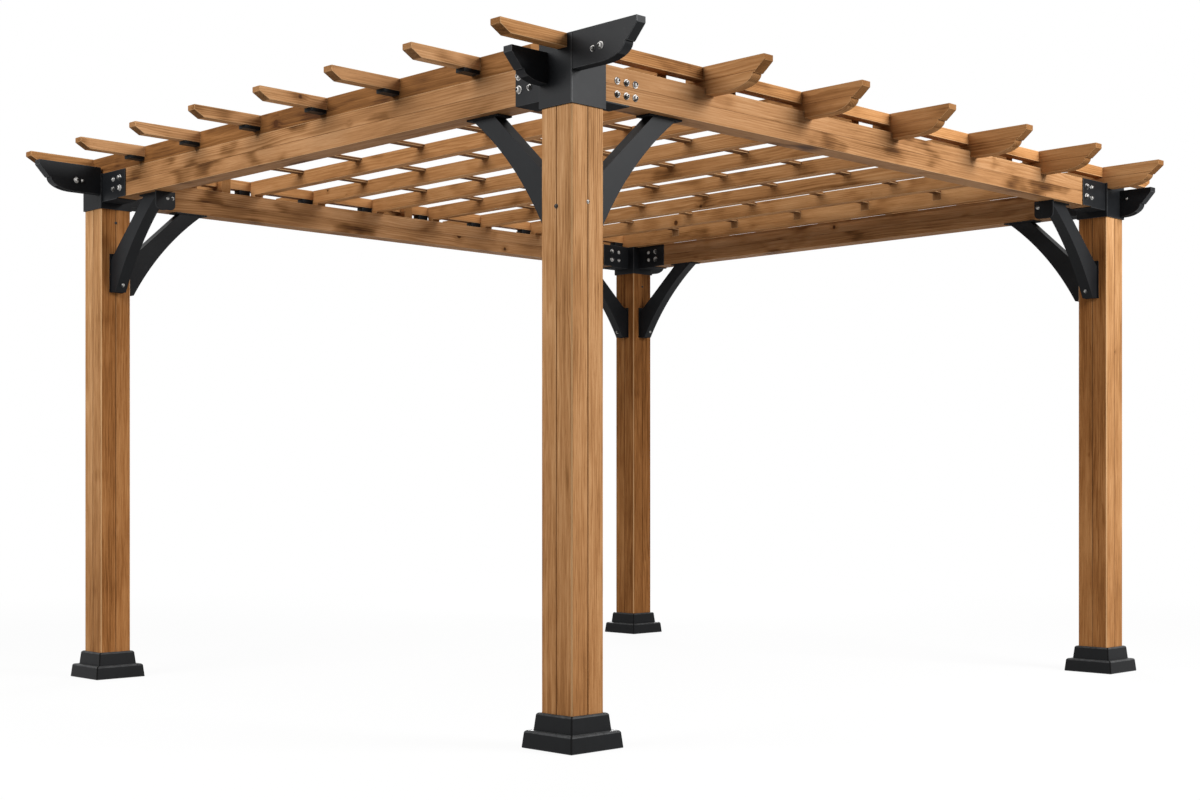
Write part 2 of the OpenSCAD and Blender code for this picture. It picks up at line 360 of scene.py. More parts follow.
class PergolaStage(bpy.types.PropertyGroup):
    """Camera and light of the plain studio."""

    eye: bpy.props.FloatVectorProperty(
        name="Camera", description="Place of the camera",
        subtype="TRANSLATION", unit="LENGTH", default=(5.4574, -5.4758, 0.8309),
    )
    turn: bpy.props.FloatProperty(
        name="Camera turn", description="Turn of the level camera about the upright",
        subtype="ANGLE", unit="ROTATION", default=0.7903,
    )
    lens: bpy.props.FloatProperty(
        name="Lens", description="Focal length on a 36 mm sensor",
        subtype="DISTANCE_CAMERA", unit="CAMERA", default=52.51, min=10, max=200,
    )
    rise: bpy.props.FloatProperty(
        name="Lens rise", description="Upward shift of the lens, as a share of the width",
        subtype="FACTOR", default=0.0710, min=-0.5, max=0.5,
    )
    fill: bpy.props.FloatProperty(
        name="Fill light", description="Strength of the even light from all round",
        subtype="FACTOR", default=0.15, min=0, max=2,
    )
    key: bpy.props.FloatProperty(
        name="Key light", description="Power of the soft light at the right, in watts",
        default=435, min=0, max=2000,
    )
    front: bpy.props.FloatProperty(
        name="Front light", description="Power of the soft light at the front, in watts",
        default=225, min=0, max=2000,
    )
    back: bpy.props.FloatProperty(
        name="Back light", description="Power of the soft light behind the pergola, in watts",
        default=270, min=0, max=2000,
    )
    under: bpy.props.FloatProperty(
        name="Under light", description="Power of the soft light on the floor under the roof, in watts",
        default=9, min=0, max=2000,
    )


def timber_material(name, look, stain):
    """Stained softwood along the board attribute: rings about the pith, fibre, smudges and knots."""
    material, tree = new_material(name)
    board = tree.attribute("board", "Vector")
    # The tone attribute also carries the painted shade of the middle slats and of the front rafter
    tone = tree.attribute("tone")
    end = tree.attribute("end_grain")
    edge = tree.attribute("edge")
    fine = stain.fine

    def layer(key):
        detail, roughness, along, across = GRAIN[key]
        return tree.noise(board, 1.0, detail, roughness, stretch=(along, across, across))

    knot_scale = 6.0
    cells = {"Vector": board, "Scale": knot_scale, "Randomness": 1.0}
    knot_far = tree.add("ShaderNodeTexVoronoi", {"feature": "F1"}, cells) / knot_scale
    lot = tree.add("ShaderNodeTexVoronoi", {"feature": "F1"}, cells, out="Color")
    lot = tree.add("ShaderNodeSeparateColor", {}, {"Color": lot})
    knot_size = lot ** 3.0 * 0.013 + 0.001
    near = knot_far / knot_size
    knot = 1.0 - tree.step(near, 0.55, 1.25)
    swirl = 1.0 - tree.step(near, 0.6, 4.2)

    pith = tree.add("ShaderNodeVectorMath", {"operation": "MULTIPLY"}, {0: board, 1: (0, 1, 1)})
    pith = tree.add("ShaderNodeVectorMath", {"operation": "LENGTH"}, {0: pith}, out="Value")
    rings = pith + layer("sway") * 0.034 + layer("drift") * 0.016 + layer("shake") * 0.0030 + swirl * 0.004
    rings = (rings / look.ring_gap).math("FRACT")
    late = tree.band(rings, 0.1, 0.84, 0.86, 1.0)

    streak = layer("streak")
    fibre = layer("fibre")
    fleck = tree.step(layer("fleck"), 0.08, 0.26)
    patch = layer("patch")
    smudge = tree.step(layer("smudge"), 0.02, 0.32)
    strength = late * (patch * 0.45 + 0.10).math("MAXIMUM", 0.02)
    # The broad layer lays paler patches, partly a painted sheen
    shade = 0.62 + tone * 0.06 + layer("broad_tone_and_sheen") * 0.46 - strength
    shade = shade + streak * (0.42 * fine) + fibre * (0.76 * fine) - fleck * (0.18 * fine)
    shade = shade - smudge * stain.smudged - swirl * 0.16 - knot * 0.55
    colour = tree.add(
        "ShaderNodeValToRGB",
        {"stops": [(0.0, look.deep), (0.3, look.dark), (0.56, look.middle), (0.9, look.pale)]},
        {"Fac": shade},
    )
    colour = tree.blend(1.0, colour, (*stain.warmth, 1), "MULTIPLY")
    # Painted shade on the inner faces of the posts, and a darker tint toward the foot of the outer ones
    colour = tree.blend(tree.attribute("heart"), colour, (*look.heart, 1), "MULTIPLY")

    speck = (0.45 + layer("speck") * 0.7 + late * 0.2).clamped()
    cut = tree.blend(speck, (*look.dark, 1), (*look.deep, 1))
    colour = tree.blend(end * 0.6, colour, cut)
    # Rounded edges and chamfers painted paler: partly wear, partly a painted highlight
    edge_highlight_and_wear = edge.math("MAXIMUM", 0.0) * (0.6 + streak * 0.9) * (1.0 - end * 0.7)
    colour = tree.blend(edge_highlight_and_wear.clamped(), colour, (*look.edge_highlight_and_wear, 1))
    seam = (0.0 - edge).math("MAXIMUM", 0.0)
    colour = tree.blend((seam * (0.62 + patch * 1.3)).clamped(), colour, (*look.deep, 1))

    rough = 0.64 + fibre * 0.25 + late * 0.08 + end * 0.2 + seam * 0.2
    height = fibre * 0.7 - late * 0.35 - knot * 0.4 + streak * 0.3
    sockets = {"Base Color": colour, "Roughness": rough.clamped(), "Specular IOR Level": 0.06}
    close_surface(tree, sockets, height, 0.35, 0.0012)
    return material


def coat_material(name, colour, marks=None):
    """Powder-coated steel: a fine peel, uneven gloss, and edges painted paler, partly wear and partly a
    painted highlight.
    """
    material, tree = new_material(name)
    place = tree.add("ShaderNodeTexCoord", {}, out="Object")
    edge = tree.attribute("edge")
    under = tree.attribute("under")
    peel = tree.noise(place, 620.0, 2.0)
    cloud = tree.noise(place, 5.0, 3.0, 0.6)
    dust = tree.noise(place, 42.0, 4.0, 0.65)
    base = [channel * 0.82 for channel in colour]
    lift = [channel * 1.35 + 0.004 for channel in colour]
    # Paler paint on rounded edges, ledges and marked corners: a painted highlight, partly wear
    highlight_and_wear_paint = [channel * 3.0 + 0.06 for channel in colour]
    paint = tree.blend((0.5 + cloud * 1.1 + dust * 0.5).clamped(), (*base, 1), (*lift, 1))
    joint = (0.0015, 0.0015, 0.0015, 1)
    line = 0.0
    if marks:
        # The marks give a dark joint line, and corners that get the painted highlight
        line, corner = marks(tree, place)
        edge = edge.math("MAXIMUM", corner)
    edge_highlight_and_wear = (edge * (0.5 + dust * 1.4)).clamped()
    paint = tree.blend(edge_highlight_and_wear, paint, (*highlight_and_wear_paint, 1))
    paint = tree.blend(line * 0.95, paint, joint)
    rough = 0.44 + cloud * 0.16 + dust * 0.10 + peel * 0.06 - edge_highlight_and_wear * 0.06 + under * 0.5 + line * 0.35
    height = peel + dust * 0.4 - line * 3.0
    sockets = {"Base Color": paint, "Roughness": rough.clamped(), "Specular IOR Level": 0.105}
    close_surface(tree, sockets, height, 0.16, 0.0006)
    return material


def tail_roots(tree, place):
    """Joint where a tail leaves its sleeve, and a painted highlight on the corner of the sleeve beside it.
    """
    joints, corner_highlights = [], []
    for axis, sleeve in zip("XY", middle_of("right_post").xy + Vector((SLEEVE, SLEEVE))):
        part = tree.add("ShaderNodeSeparateXYZ", {}, {"Vector": place}, out=axis)
        past = part.math("ABSOLUTE") - sleeve
        joints.append(tree.band(past, 0.0006, 0.0012, 0.0030, 0.0036))
        # Pale strip just inside the sleeve's corner: a painted highlight
        corner_highlights.append(tree.band(past, -0.0050, -0.0040, -0.0010, -0.0004))
    return joints[0].math("MAXIMUM", joints[1]), corner_highlights[0].math("MAXIMUM", corner_highlights[1])


def mitre_line(tree, place):
    """Thin line on the diagonals of the four trims, where their two halves meet, and no painted corner
    highlight.
    """
    across = []
    for axis, centre in zip("XY", middle_of("right_post_trim")):
        part = tree.add("ShaderNodeSeparateXYZ", {}, {"Vector": place}, out=axis)
        across.append((part.math("ABSOLUTE") - centre).math("ABSOLUTE"))
    apart = (across[0] - across[1]).math("ABSOLUTE")
    return 1.0 - tree.step(apart, 0.0030, 0.0055), 0.0


def plated_material(name, colour, roughness):
    """Zinc-plated steel with fine scratches."""
    material, tree = new_material(name)
    place = tree.add("ShaderNodeTexCoord", {}, out="Object")
    spangle = tree.noise(place, 260.0, 3.0, 0.6)
    scratch = tree.noise(place, 1500.0, 2.0, 0.5)
    dull = [channel * 0.62 for channel in colour]
    base = tree.blend((0.55 + spangle * 1.5).clamped(), (*dull, 1), (*colour, 1))
    rough = roughness + spangle * 0.25 + scratch * 0.08
    sockets = {"Base Color": base, "Roughness": rough.clamped(), "Metallic": 1.0}
    close_surface(tree, sockets, scratch + spangle * 0.5, 0.10, 0.0003)
    return material


# Pieces on the CAD nodes


def copy_node(node):
    """Merged copy of a CAD node, with its flat faces joined."""
    mesh = bmesh.new()
    mesh.from_mesh(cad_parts[node].data)
    bmesh.ops.remove_doubles(mesh, verts=mesh.verts, dist=WELD)
    bmesh.ops.dissolve_limit(
        mesh, angle_limit=FLAT_ANGLE, verts=mesh.verts, edges=mesh.edges, use_dissolve_boundaries=False
    )
    return mesh


def soften(mesh, width, bend):
    """Rounds the outward edges above an angle, marks the new faces as edge, and creases the rest."""
    layer = mesh.faces.layers.float.new("edge")
    least = math.radians(bend)
    edges = [e for e in mesh.edges if e.is_manifold and e.is_convex and e.calc_face_angle() > least]
    made = bmesh.ops.bevel(
        mesh, geom=edges, offset=width, offset_type="OFFSET", segments=EDGE_FACES, profile=0.5,
        affect="EDGES", clamp_overlap=True,
    )
    for face in made["faces"]:
        # The rounded faces are painted paler: partly wear, partly a painted highlight
        face[layer] = WORN_AND_HIGHLIT_EDGE
    for e in mesh.edges:
        e.smooth = not (e.is_manifold and e.calc_face_angle() > CREASE_ANGLE)
    return layer


def finish_piece(name, mesh, material, node):
    """Turns a bmesh into a piece that stands for a CAD node, with normals led by its large faces."""
    data = bpy.data.meshes.new(name)
    for face in mesh.faces:
        face.smooth = True
    mesh.to_mesh(data)
    mesh.free()
    data.materials.append(material)
    piece = bpy.data.objects.new(name, data)
    bpy.context.scene.collection.objects.link(piece)
    modifier = piece.modifiers.new("Face normals", "WEIGHTED_NORMAL")
    modifier.mode = "FACE_AREA"
    modifier.weight = 100
    modifier.keep_sharp = True
    bake_modifiers(piece)
    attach(piece, "root")
    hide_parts(node)


def bake_modifiers(piece):
    """Puts the evaluated mesh in place of the modifiers."""
    graph = bpy.context.evaluated_depsgraph_get()
    done = bpy.data.meshes.new_from_object(
        piece.evaluated_get(graph), preserve_all_data_layers=True, depsgraph=graph
    )
    old = piece.data
    piece.modifiers.clear()
    piece.data = done
    bpy.data.meshes.remove(old)
    done.name = piece.name


class Board:
    """Where one board was cut from its tree: its place along the trunk, its pith and its tone."""

    def __init__(self, lot):
        self.along = lot.uniform(0, 60)
        self.far = lot.uniform(0.045, 0.16)
        self.angle = lot.uniform(0, 2 * math.pi)
        self.tone = lot.uniform(-1, 1)

    def place(self, point, centre, axis):
        """Point in the board's own axes: along the grain, and two across it from the pith."""
        local = point - centre
        others = [k for k in range(3) if k != axis]
        return Vector((
            self.along + local[axis],
            local[others[0]] + self.far * math.cos(self.angle),
            local[others[1]] + self.far * math.sin(self.angle),
        ))


def grain(mesh, centre, axis, boards, choose, painted_shade_reach=0.0, drop=0.0):
    """Writes the board, tone and end grain attributes, with a board chosen for each face.

    Within the given length on both sides of the middle, faces other than the top ones get their tone
    lowered by the drop: a painted shade.
    """
    place = mesh.loops.layers.float_vector.new("board")
    tone = mesh.faces.layers.float.new("tone")
    end = mesh.faces.layers.float.new("end_grain")
    end_facing, top_facing = 0.45, 0.5
    for face in mesh.faces:
        local = face.calc_center_median() - centre
        board = boards[choose(local)]
        in_painted_shade = abs(local[axis]) < painted_shade_reach and face.normal.z < top_facing
        face[tone] = board.tone - drop * in_painted_shade
        face[end] = float(abs(face.normal[axis]) > end_facing)
        for loop in face.loops:
            loop[place] = board.place(loop.vert.co, centre, axis)


def mark_shade_and_foot_tint(mesh, node):
    """Writes the tint attribute of a post: painted shade on its inner faces, and a darker tint growing
    toward the foot of its outer ones.
    """
    layer = mesh.loops.layers.float.new("heart")
    low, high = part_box(node)
    outward = middle_of(node).xy
    inner_facing = -0.5
    for face in mesh.faces:
        inward = face.normal.xy.dot(outward) < inner_facing
        for loop in face.loops:
            drop = (high.z - loop.vert.co.z) / (high.z - low.z)
            loop[layer] = INNER_PAINTED_SHADE if inward else FOOT_TINT * drop


def mark_post_lines(mesh, layer, centre):
    """Marks chamfers as edges painted paler, partly wear and partly a painted highlight, and glue lines as
    dark seams.
    """
    square_facing, line_half = 0.9, 0.006
    for face in mesh.faces:
        if max(abs(part) for part in face.normal) > square_facing:
            continue
        local = face.calc_center_median() - centre
        face[layer] = POST_GLUE if min(abs(local.x), abs(local.y)) < line_half else WORN_AND_HIGHLIT_EDGE


class PERGOLA_OT_posts(bpy.types.Operator):
    """Four posts, each glued up from four square strips"""

    bl_idname = "pergola.posts"
    bl_label = "Posts"

    def execute(self, context):
        look = context.scene.pergola_timber
        material = timber_material("post_timber", look, POST_STAIN)
        for number, node in enumerate(POSTS):
            lot = random.Random(POST_SEED + number)
            boards = [Board(lot) for _ in range(4)]
            mesh = copy_node(node)
            centre = middle_of(node)
            layer = soften(mesh, look.edge, POST_BEND)
            mark_post_lines(mesh, layer, centre)
            mark_shade_and_foot_tint(mesh, node)
            grain(mesh, centre, 2, boards, lambda p: (p.x > 0) + 2 * (p.y > 0))
            finish_piece(f"{node}_timber", mesh, material, node)
        return {"FINISHED"}


def mark_seam(mesh, layer, height, axis):
    """Marks the faces of the glue line along a board as a faint seam."""
    line_half, least, most, end_facing = 0.0015, 0.3, 0.9, 0.1
    for face in mesh.faces:
        leans = least < abs(face.normal.z) < most and abs(face.normal[axis]) < end_facing
        if leans and abs(face.calc_center_median().z - height) < line_half:
            face[layer] = BOARD_GLUE


def split_faces(mesh, centre, axis, far):
    """Splits the faces that run past a distance on either side of the middle."""
    way = Vector([float(k == axis) for k in range(3)])
    for side in (-far, far):
        parts = [*mesh.verts, *mesh.edges, *mesh.faces]
        bmesh.ops.bisect_plane(mesh, geom=parts, dist=WELD, plane_co=centre + way * side, plane_no=way)


def dress_boards(nodes, axis, material, look, slot, seed, seam=0.0, painted_shade_reach=0.0, drop=0.0):
    """Boards along an axis, each glued up from an upper and a lower one that meet at the seam."""
    for number, node in enumerate(nodes):
        lot = random.Random(seed + number)
        boards = [Board(lot), Board(lot)]
        mesh = copy_node(node)
        centre = middle_of(node)
        layer = soften(mesh, look.edge, BOARD_BEND)
        # Faces are split where the painted shade ends
        if painted_shade_reach:
            split_faces(mesh, centre, axis, painted_shade_reach)
        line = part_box(node)[1].z - seam
        mark_seam(mesh, layer, line, axis)
        grain(mesh, centre, axis, boards, lambda p: int(p.z + centre.z > line), painted_shade_reach, drop)
        finish_piece(f"{node}_timber", mesh, material, node)


class PERGOLA_OT_beams(bpy.types.Operator):
    """Four beams between the connectors"""

    bl_idname = "pergola.beams"
    bl_label = "Beams"

    def execute(self, context):
        look = context.scene.pergola_timber
        material = timber_material("beam_timber", look, BEAM_STAIN)
        seed = BEAM_SEED
        for axis, beams in enumerate((BEAMS_X, BEAMS_Y)):
            dress_boards(beams, axis, material, look, "beam_timber", seed, BEAM_SEAM)
            seed += len(beams)
        return {"FINISHED"}


class PERGOLA_OT_rafters(bpy.types.Operator):
    """Rafters with ogee tails, and the tails between them"""

    bl_idname = "pergola.rafters"
    bl_label = "Rafters"

    def execute(self, context):
        look = context.scene.pergola_timber
        material = timber_material("rafter_timber", look, RAFTER_STAIN)
        given = (0, material, look, "rafter_timber")
        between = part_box("front_post")[1].x
        # The front rafter's face between the posts is darkened as painted shade, for the shade under the
        # slats
        dress_boards(RAFTERS[:1], *given, RAFTER_SEED, RAFTER_SEAM, between, FRONT_PAINTED_SHADE)
        dress_boards(RAFTERS[1:] + RAFTER_TAILS, *given, RAFTER_SEED + 1, RAFTER_SEAM)
        return {"FINISHED"}


class PERGOLA_OT_slats(bpy.types.Operator):
    """Slats with slanted tails"""

    bl_idname = "pergola.slats"
    bl_label = "Slats"

    def execute(self, context):
        look = context.scene.pergola_timber
        slot = "slat_timber"
        # Paler tint than the end slats: painted light on the middle slats' tails
        material = timber_material("slat_timber", look, LIT_SLAT_STAIN)
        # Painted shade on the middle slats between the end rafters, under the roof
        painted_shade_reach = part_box(RAFTERS[-1])[0].y
        dress_boards(SLATS[1:-1], 1, material, look, slot, SLAT_SEED, 0.0, painted_shade_reach, SLAT_PAINTED_SHADE)
        material = timber_material("end_slat_timber", look, END_SLAT_STAIN)
        dress_boards((SLATS[0], SLATS[-1]), 1, material, look, slot, END_SLAT_SEED)
        return {"FINISHED"}


def dress_steel(nodes, material, width, bend, ledge_highlight=0.0):
    """Coated pieces. Their undersides are dull, and their upward ledges get the given share of the painted
    highlight on edges.
    """
    down_facing, ledge_facing = -0.9, 0.2
    for node in nodes:
        mesh = copy_node(node)
        layer = soften(mesh, width, bend)
        under = mesh.faces.layers.float.new("under")
        for face in mesh.faces:
            face[under] = float(face.normal.z < down_facing)
            # Upward faces painted paler by the given share: a painted highlight from light falling from
            # above
            if face.normal.z > ledge_facing:
                face[layer] = max(face[layer], ledge_highlight)
        finish_piece(f"{node}_coated", mesh, material, node)


class PERGOLA_OT_connectors(bpy.types.Operator):
    """Steel corner connectors with their tails and beam plates"""

    bl_idname = "pergola.connectors"
    bl_label = "Corner connectors"

    def execute(self, context):
        look = context.scene.pergola_steel
        material = coat_material("connector_coat", look.coat, tail_roots)
        dress_steel(CONNECTORS, material, look.edge, CONNECTOR_BEND)
        return {"FINISHED"}


class PERGOLA_OT_braces(bpy.types.Operator):
    """Arched steel braces"""

    bl_idname = "pergola.braces"
    bl_label = "Braces"

    def execute(self, context):
        look = context.scene.pergola_steel
        material = coat_material("brace_coat", look.coat)
        dress_steel(BRACES, material, look.edge, CURVED_BEND)
        return {"FINISHED"}


class PERGOLA_OT_trims(bpy.types.Operator):
    """Two-tier base trims round the feet of the posts"""

    bl_idname = "pergola.trims"
    bl_label = "Base trims"

    def execute(self, context):
        look = context.scene.pergola_steel
        material = coat_material("trim_coat", look.trim, mitre_line)
        # The trims' upward ledges get a painted highlight
        dress_steel(TRIMS, material, 2 * look.edge, CURVED_BEND, ledge_highlight=1.2)
        return {"FINISHED"}


# Bolts

# Outline of a bolt from the middle of its underside to the floor of its socket,
# as shares of the washer's radius and of the whole height; the last three rows are the socket
BOLT_OUTLINE = (
    (0.0, 0.0), (1.0, 0.0), (1.0, 0.16), (0.94, 0.22), (0.74, 0.22), (0.74, 0.46),
    (0.69, 0.70), (0.58, 0.88), (0.43, 0.98), (0.36, 1.0), (0.33, 0.56), (0.0, 0.52),
)
SOCKET_ROWS = 3
WASHER_ROWS = 4
BOLT_SIDES = 24
BOLT_SEED = 7

# Thickness of a beam plate
PLATE = 0.005

# Distances of the bolts from the post's middle along the beam, in each plate and where there is none
PLATE_ROWS = {
    "front": (0.128, 0.178), "left": (0.169, 0.222), "right": (0.195, 0.238), "back": (0.150, 0.205),
}
BARE_ROWS = (0.138, 0.180, 0.221)

# Rise of the lower bolts from the underside of a beam, drop of the upper ones from its top,
# and how far those on the outer sides of the front corner are off these levels
BOLT_RISE = 0.038
BOLT_DROP = 0.035
FRONT_OFF = 0.010


def new_group(name, inputs):
    """Geometry node group with its inputs by name, and with points as its first input."""
    group = bpy.data.node_groups.new(name, "GeometryNodeTree")
    face = group.interface
    face.new_socket("Points", in_out="INPUT", socket_type="NodeSocketGeometry")
    for label, kind in inputs:
        face.new_socket(label, in_out="INPUT", socket_type=kind)
    face.new_socket("Geometry", in_out="OUTPUT", socket_type="NodeSocketGeometry")
    tree = Tree(group)
    given = tree.add("NodeGroupInput").socket.node.outputs
    return group, tree, {label: Value(tree, socket) for label, socket in given.items()}


def grow(name, group, given, places, facing=None, size=None):
    """Piece that a node group makes on points, as a plain mesh."""
    data = bpy.data.meshes.new(name)
    data.from_pydata(places, [], [])
    if facing:
        layer = data.attributes.new("facing", "FLOAT_VECTOR", "POINT")
        layer.data.foreach_set("vector", [part for way in facing for part in way])
    if size:
        data.attributes.new("size", "FLOAT", "POINT").data.foreach_set("value", size)
    piece = bpy.data.objects.new(name, data)
    bpy.context.scene.collection.objects.link(piece)
    modifier = piece.modifiers.new(group.name, "NODES")
    modifier.node_group = group
    for item in group.interface.items_tree:
        if item.in_out == "INPUT" and item.name in given:
            modifier[item.identifier] = given[item.name]
    bake_modifiers(piece)
    if not piece.data.polygons:
        raise RuntimeError(f"{name} came out empty")
    mesh = bmesh.new()
    mesh.from_mesh(piece.data)
    bmesh.ops.recalc_face_normals(mesh, faces=mesh.faces)
    for made in mesh.faces:
        made.smooth = True
    mesh.to_mesh(piece.data)
    mesh.free()
    piece.data.set_sharp_from_angle(angle=BOLT_CREASE)
    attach(piece, "root")


def bolt_tree():
    """Turned bolt with a washer and a six-sided socket, put on points by their facing and size."""
    group, tree, given = new_group("Bolts", (
        ("Washer Radius", "NodeSocketFloat"), ("Bolt Height", "NodeSocketFloat"),
        ("Head Finish", "NodeSocketMaterial"), ("Washer Finish", "NodeSocketMaterial"),
    ))

    rows = len(BOLT_OUTLINE)
    grid = tree.add(
        "GeometryNodeMeshGrid", {},
        {"Size X": 1.0, "Size Y": 1.0, "Vertices X": BOLT_SIDES + 1, "Vertices Y": rows},
    )
    spot = tree.add("GeometryNodeInputPosition")
    part = {a: tree.add("ShaderNodeSeparateXYZ", {}, {0: spot}, out=a) + 0.5 for a in "XY"}
    angle = part["X"] * (2 * math.pi)
    last = rows - 1
    wide = [(k / last, r) for k, (r, _) in enumerate(BOLT_OUTLINE)]
    tall = [(k / last, z) for k, (_, z) in enumerate(BOLT_OUTLINE)]
    radius = tree.add("ShaderNodeFloatCurve", {"points": wide}, {"Value": part["Y"]})
    height = tree.add("ShaderNodeFloatCurve", {"points": tall}, {"Value": part["Y"]})
    sixth = math.pi / 3
    side = (angle.math("FLOORED_MODULO", sixth) - sixth / 2).math("COSINE")
    socket = part["Y"].math("GREATER_THAN", (rows - SOCKET_ROWS - 0.5) / last)
    radius = radius * (1.0 - socket + socket * math.cos(sixth / 2) / side) * given["Washer Radius"]
    turned = tree.add(
        "ShaderNodeCombineXYZ", {},
        {
            "X": radius * angle.math("COSINE"), "Y": radius * angle.math("SINE"),
            "Z": height * given["Bolt Height"],
        },
    )
    bolt = tree.add("GeometryNodeSetPosition", {}, {"Geometry": grid, "Position": turned})
    washer = tree.add("GeometryNodeInputIndex").math("LESS_THAN", WASHER_ROWS * BOLT_SIDES)
    bolt = tree.add(
        "GeometryNodeStoreNamedAttribute", {"data_type": "FLOAT", "domain": "FACE"},
        {"Geometry": bolt, "Name": "washer", "Value": washer},
    )
    bolt = tree.add("GeometryNodeMergeByDistance", {}, {"Geometry": bolt, "Distance": WELD})

    facing = tree.add(
        "GeometryNodeInputNamedAttribute", {"data_type": "FLOAT_VECTOR"}, {"Name": "facing"}
    )
    size = tree.add("GeometryNodeInputNamedAttribute", {"data_type": "FLOAT"}, {"Name": "size"})
    aim = tree.add("FunctionNodeAlignRotationToVector", {"axis": "Z"}, {"Vector": facing})
    turns = {"Min": 0.0, "Max": 2 * math.pi, "Seed": BOLT_SEED}
    spin = tree.add("FunctionNodeRandomValue", {"data_type": "FLOAT"}, turns, out=1)
    spin = tree.add("FunctionNodeAxisAngleToRotation", {}, {"Axis": (0, 0, 1), "Angle": spin})
    aim = tree.add(
        "FunctionNodeRotateRotation", {"rotation_space": "LOCAL"}, {"Rotation": aim, "Rotate By": spin}
    )
    placed = tree.add(
        "GeometryNodeInstanceOnPoints", {},
        {"Points": given["Points"], "Instance": bolt, "Rotation": aim, "Scale": size},
    )
    solid = tree.add("GeometryNodeRealizeInstances", {}, {"Geometry": placed})
    marked = tree.add("GeometryNodeInputNamedAttribute", {"data_type": "FLOAT"}, {"Name": "washer"})
    shown = tree.add("GeometryNodeSetMaterial", {}, {"Geometry": solid, "Material": given["Head Finish"]})
    marked = marked.math("GREATER_THAN", 0.5)
    shown = tree.add(
        "GeometryNodeSetMaterial", {},
        {"Geometry": shown, "Selection": marked, "Material": given["Washer Finish"]},
    )
    tree.add("NodeGroupOutput", {}, {"Geometry": shown})
    return group


def corner_spot(corner, along_x, along_y, z):
    """Point at a distance from a post's middle, outward along X and Y."""
    sign = CORNERS[corner]
    post = middle_of(f"{corner}_post")
    return Vector((post.x + sign[0] * along_x, post.y + sign[1] * along_y, z))


def beam_bolts():
    """Bolts through the beams and their plates, outside and inside: (place, facing, size)."""
    bolts = []
    beam_low, beam_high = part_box("right_beam")
    levels = (beam_low.z + BOLT_RISE, beam_high.z - BOLT_DROP)
    post_x = middle_of("right_post").x
    outer, inner = beam_high.x - post_x, post_x - beam_low.x
    near_size, far_size, bare_size = 0.85, 1.1, 0.95
    for corner, (sx, sy) in CORNERS.items():
        tall = corner == TALL_CORNER
        for along, size in zip(PLATE_ROWS[corner], (near_size, far_size)):
            for z in levels:
                high = z + FRONT_OFF * tall
                bolts.append((corner_spot(corner, -along, outer + PLATE, high), (0, sy, 0), size))
                bolts.append((corner_spot(corner, -along, -inner - PLATE, z), (0, -sy, 0), size))
                bolts.append((corner_spot(corner, -inner - PLATE, -along, z), (-sx, 0, 0), size))
                if not tall:
                    bolts.append((corner_spot(corner, outer + PLATE, -along, z), (sx, 0, 0), size))
        if tall:
            for along in BARE_ROWS:
                for z in levels:
                    bolts.append((corner_spot(corner, outer, -along, z - FRONT_OFF), (sx, 0, 0), bare_size))
    return bolts


def small_bolts():
    """Bolts through the tails, the lugs and feet of the braces, and the front post."""
    top = {corner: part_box(f"{corner}_connector")[1].z for corner in CORNERS}
    bolts = [
        (corner_spot("front", 0.169, SLEEVE, top["front"] - 0.070), (0, -1, 0), 0.8),
        (corner_spot("front", 0.203, SLEEVE, top["front"] - 0.066), (0, -1, 0), 1.0),
        (corner_spot("front", POST_HALF, 0.0, 1.720), (1, 0, 0), 0.5),
        (corner_spot("left", -SLEEVE, 0.187, top["left"] - 0.068), (1, 0, 0), 1.0),
        (corner_spot("left", -SLEEVE, 0.160, top["left"] - 0.068), (1, 0, 0), 0.55),
        (corner_spot("right", 0.109, TAIL_SIDE, top["right"] - 0.060), (0, -1, 0), 0.5),
    ]
    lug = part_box("left_post_brace_x")[1]
    level = lug.z - 0.027
    bolts += [((lug.x, y, level), (1, 0, 0), 0.6) for y in (-1.631, -1.608)]
    bolts += [((1.432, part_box("right_post_brace_y")[0].y, level), (0, -1, 0), 0.7)]
    foot_out, foot_rise, foot_size = 0.1290, 0.028, 0.7
    lean = math.radians(30)
    flat, down = math.cos(lean), -math.sin(lean)
    for corner, (sx, sy) in CORNERS.items():
        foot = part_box(f"{corner}_post_brace_x")[0].z + foot_rise
        bolts += [
            (corner_spot(corner, -foot_out, 0, foot), (-sx * flat, 0, down), foot_size),
            (corner_spot(corner, 0, -foot_out, foot), (0, -sy * flat, down), foot_size),
        ]
    return bolts


def dark_screws():
    """Small dark screws on the glue lines of the posts."""
    return [
        (corner_spot("front", 0.0, POST_HALF, 1.706), (0, -1, 0), 0.62),
        (corner_spot("left", -POST_HALF, 0.0, 1.964), (1, 0, 0), 0.5),
        (corner_spot("back", -POST_HALF, 0.0, 1.950), (1, 0, 0), 0.5),
    ]


class PERGOLA_OT_bolts(bpy.types.Operator):
    """Bolts and screws of the connectors, braces and posts"""

    bl_idname = "pergola.bolts"
    bl_label = "Bolts"

    def execute(self, context):
        look = context.scene.pergola_steel
        plated = plated_material("bolt_plating", look.plating, roughness=0.56)
        tarnished = [channel * 0.14 for channel in look.plating]
        dark = plated_material("washer_plating", tarnished, roughness=0.48)
        group = bolt_tree()
        for name, head, bolts in (
            ("beam_bolts", plated, beam_bolts()),
            ("small_bolts", plated, small_bolts()),
            ("dark_screws", dark, dark_screws()),
        ):
            given = {
                "Washer Radius": look.washer, "Bolt Height": look.head,
                "Head Finish": head, "Washer Finish": dark,
            }
            grow(name, group, given, *zip(*bolts))
        return {"FINISHED"}


# Packers between the beams and the slats, and dark blocks standing in for the shade under the slat tails


